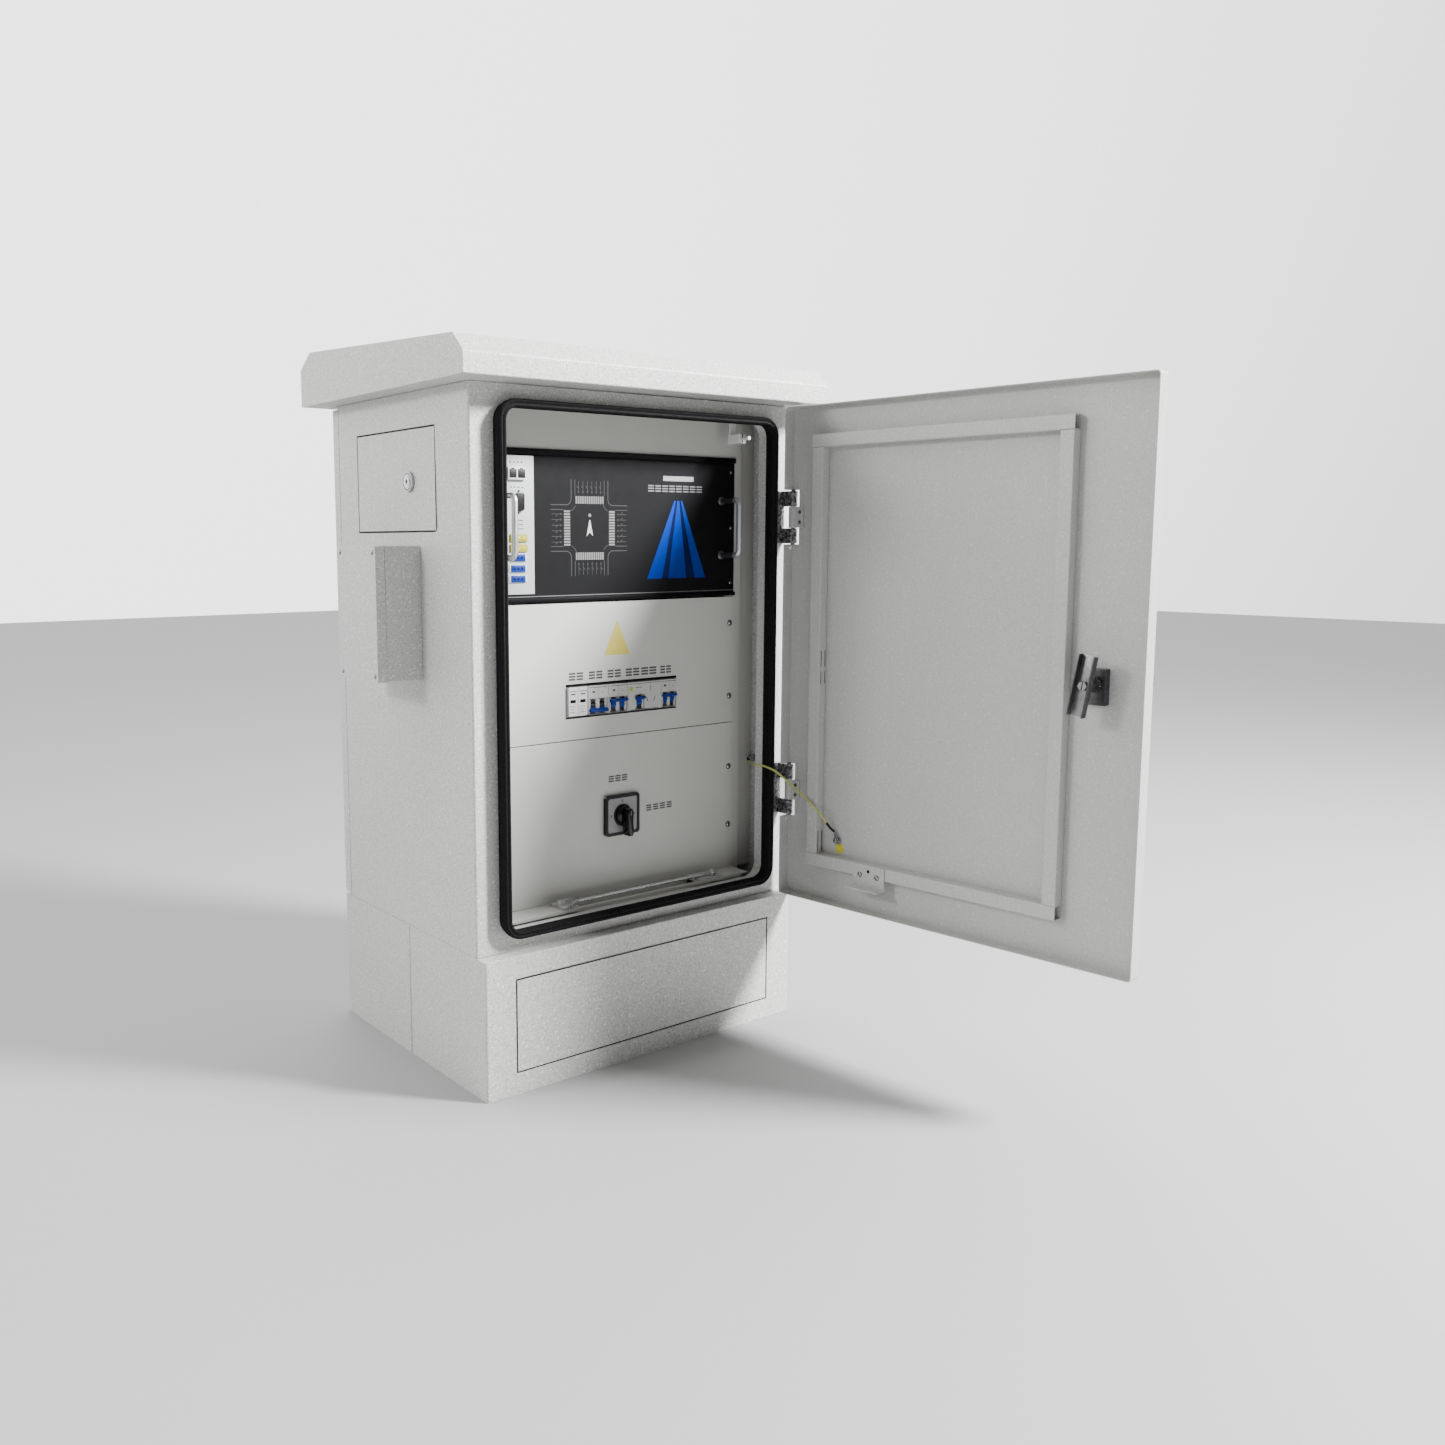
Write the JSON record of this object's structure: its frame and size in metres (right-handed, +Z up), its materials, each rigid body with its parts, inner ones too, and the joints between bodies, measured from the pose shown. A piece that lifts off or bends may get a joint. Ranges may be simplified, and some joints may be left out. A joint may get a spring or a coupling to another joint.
{
  "type": "roadside traffic signal control cabinet",
  "caption": "Sheet steel outdoor control cabinet on a plinth with a sloped roof, its front door open on a rack controller, a breaker row and a changeover switch.",
  "frame": {"origin": "middle of the underside of the plinth's front foot flange", "axes": "+X to the right as seen from the front, +Y to the back, +Z up"},
  "size_m": [0.7601, 1.0579, 1.0796],
  "materials": {
    "cabinet_paint": "light grey stippled powder coat",
    "door_paint": "light grey powder coat, inner side",
    "panel_white": "smooth off-white powder coat",
    "panel_black": "satin black printed front",
    "black_steel": "black oxide",
    "seal_rubber": "matt black foam rubber",
    "zinc": "zinc plated",
    "chrome": "polished",
    "white_plastic": "moulded",
    "blue_plastic": "moulded",
    "black_plastic": "polished",
    "grey_plastic": "moulded",
    "earth_insulation": "green and yellow striped sleeve"
  },
  "bodies": {
    "cabinet": {"plinth_front_half": "cabinet_paint", "plinth_rear_half": "cabinet_paint", "plinth_access_panel": "cabinet_paint", "body_wrap": "cabinet_paint", "front_frame": "cabinet_paint", "rear_frame": "cabinet_paint", "roof_cap": "cabinet_paint", "front_seal": "seal_rubber", "rear_seal": "seal_rubber", "upper_hinge_body_leaf": "black_steel", "lower_hinge_body_leaf": "black_steel", "rear_upper_hinge_leaf": "black_steel", "rear_lower_hinge_leaf": "black_steel", "rack_frame": "cabinet_paint", "controller_chassis": "grey_plastic", "controller_front_panel": "panel_black", "controller_left_handle": "zinc", "controller_right_handle": "zinc", "controller_io_module": "white_plastic", "breaker_panel": "panel_white", "switch_panel": "panel_white", "din_rail": "zinc", "surge_protector": "white_plastic", "breaker_1": "white_plastic", "breaker_2": "white_plastic", "residual_breaker": "white_plastic", "breaker_3": "white_plastic", "changeover_switch_body": "grey_plastic", "side_box_body": "cabinet_paint", "side_box_lid": "cabinet_paint", "door_contact_switch": "white_plastic", "stay_rod_bracket": "cabinet_paint", "stay_rod_rest": "cabinet_paint", "body_earth_stud": "zinc", "earth_lead": "earth_insulation"},
    "front_door": {"front_door_pan": "door_paint", "stiffener_top": "door_paint", "stiffener_bottom": "door_paint", "stiffener_hinge_side": "door_paint", "stiffener_latch_side": "door_paint", "upper_hinge_door_leaf": "door_paint", "lower_hinge_door_leaf": "door_paint", "latch_housing": "zinc", "handle_escutcheon": "black_steel", "door_stay_bracket": "door_paint", "door_earth_stud": "zinc"},
    "front_latch": {"latch_claw": "zinc", "door_handle": "black_steel"},
    "rear_door": {"rear_door_pan": "cabinet_paint"},
    "rear_lock": {"rear_door_lock": "chrome"},
    "side_door": {"side_access_door": "cabinet_paint"},
    "side_lock": {"side_door_lock": "chrome"},
    "toggle_1": {"breaker_1_toggle": "blue_plastic"},
    "toggle_2": {"breaker_2_toggle": "blue_plastic"},
    "toggle_residual": {"residual_breaker_toggle": "blue_plastic"},
    "toggle_3": {"breaker_3_toggle": "blue_plastic"},
    "changeover": {"changeover_knob": "black_plastic"},
    "contact_plunger": {"door_contact_plunger": "white_plastic"},
    "stay_rod": {"door_stay_rod": "zinc"}
  },
  "joints": [
    {"name": "front_door_swing", "type": "hinge", "parent": "cabinet", "child": "front_door", "pos_m": [0.292, -0.014, 0.6], "axis": [0, 0, 1], "range_deg": [-96.1, 24], "deforming": ["earth_lead"]},
    {"name": "front_latch_turn", "type": "hinge", "parent": "front_door", "child": "front_latch", "pos_m": [0.32948, -0.52943, 0.5965], "axis": [-0.9943, -0.1063, 0], "range_deg": [-80, 0]},
    {"name": "rear_door_swing", "type": "hinge", "parent": "cabinet", "child": "rear_door", "pos_m": [0.292, 0.4285, 0.6], "axis": [0, 0, 1], "range_deg": [-110, 0]},
    {"name": "rear_lock_turn", "type": "hinge", "parent": "rear_door", "child": "rear_lock", "pos_m": [-0.215, 0.42, 0.6], "axis": [0, 1, 0], "range_deg": [0, 90]},
    {"name": "side_door_swing", "type": "hinge", "parent": "cabinet", "child": "side_door", "pos_m": [-0.292, 0.3385, 0.873], "axis": [0, 0, 1], "range_deg": [-100, 0]},
    {"name": "side_lock_turn", "type": "hinge", "parent": "side_door", "child": "side_lock", "pos_m": [-0.29, 0.1756, 0.8717], "axis": [1, 0, 0], "range_deg": [-90, 0]},
    {"name": "breaker_1_toggle_flip", "type": "hinge", "parent": "cabinet", "child": "toggle_1", "pos_m": [-0.0385, 0.073, 0.536], "axis": [1, 0, 0], "range_deg": [-70, 0]},
    {"name": "breaker_2_toggle_flip", "type": "hinge", "parent": "cabinet", "child": "toggle_2", "pos_m": [0, 0.073, 0.536], "axis": [1, 0, 0], "range_deg": [0, 70]},
    {"name": "residual_toggle_flip", "type": "hinge", "parent": "cabinet", "child": "toggle_residual", "pos_m": [0.042, 0.073, 0.536], "axis": [1, 0, 0], "range_deg": [0, 70]},
    {"name": "breaker_3_toggle_flip", "type": "hinge", "parent": "cabinet", "child": "toggle_3", "pos_m": [0.1015, 0.073, 0.536], "axis": [1, 0, 0], "range_deg": [0, 70]},
    {"name": "changeover_turn", "type": "hinge", "parent": "cabinet", "child": "changeover", "pos_m": [0.006, 0.06, 0.361], "axis": [0, 1, 0], "range_deg": [-90, 90]},
    {"name": "stay_rod_swing", "type": "hinge", "parent": "cabinet", "child": "stay_rod", "pos_m": [0.172, 0.041, 0.246], "axis": [0, 0, 1], "range_deg": [0, 100]},
    {"name": "contact_plunger_press", "type": "slide", "parent": "cabinet", "child": "contact_plunger", "axis": [0, 1, 0], "range_m": [0, 0.004], "stiffness_N_per_m": 120, "springref_m": -0.003}
  ]
}
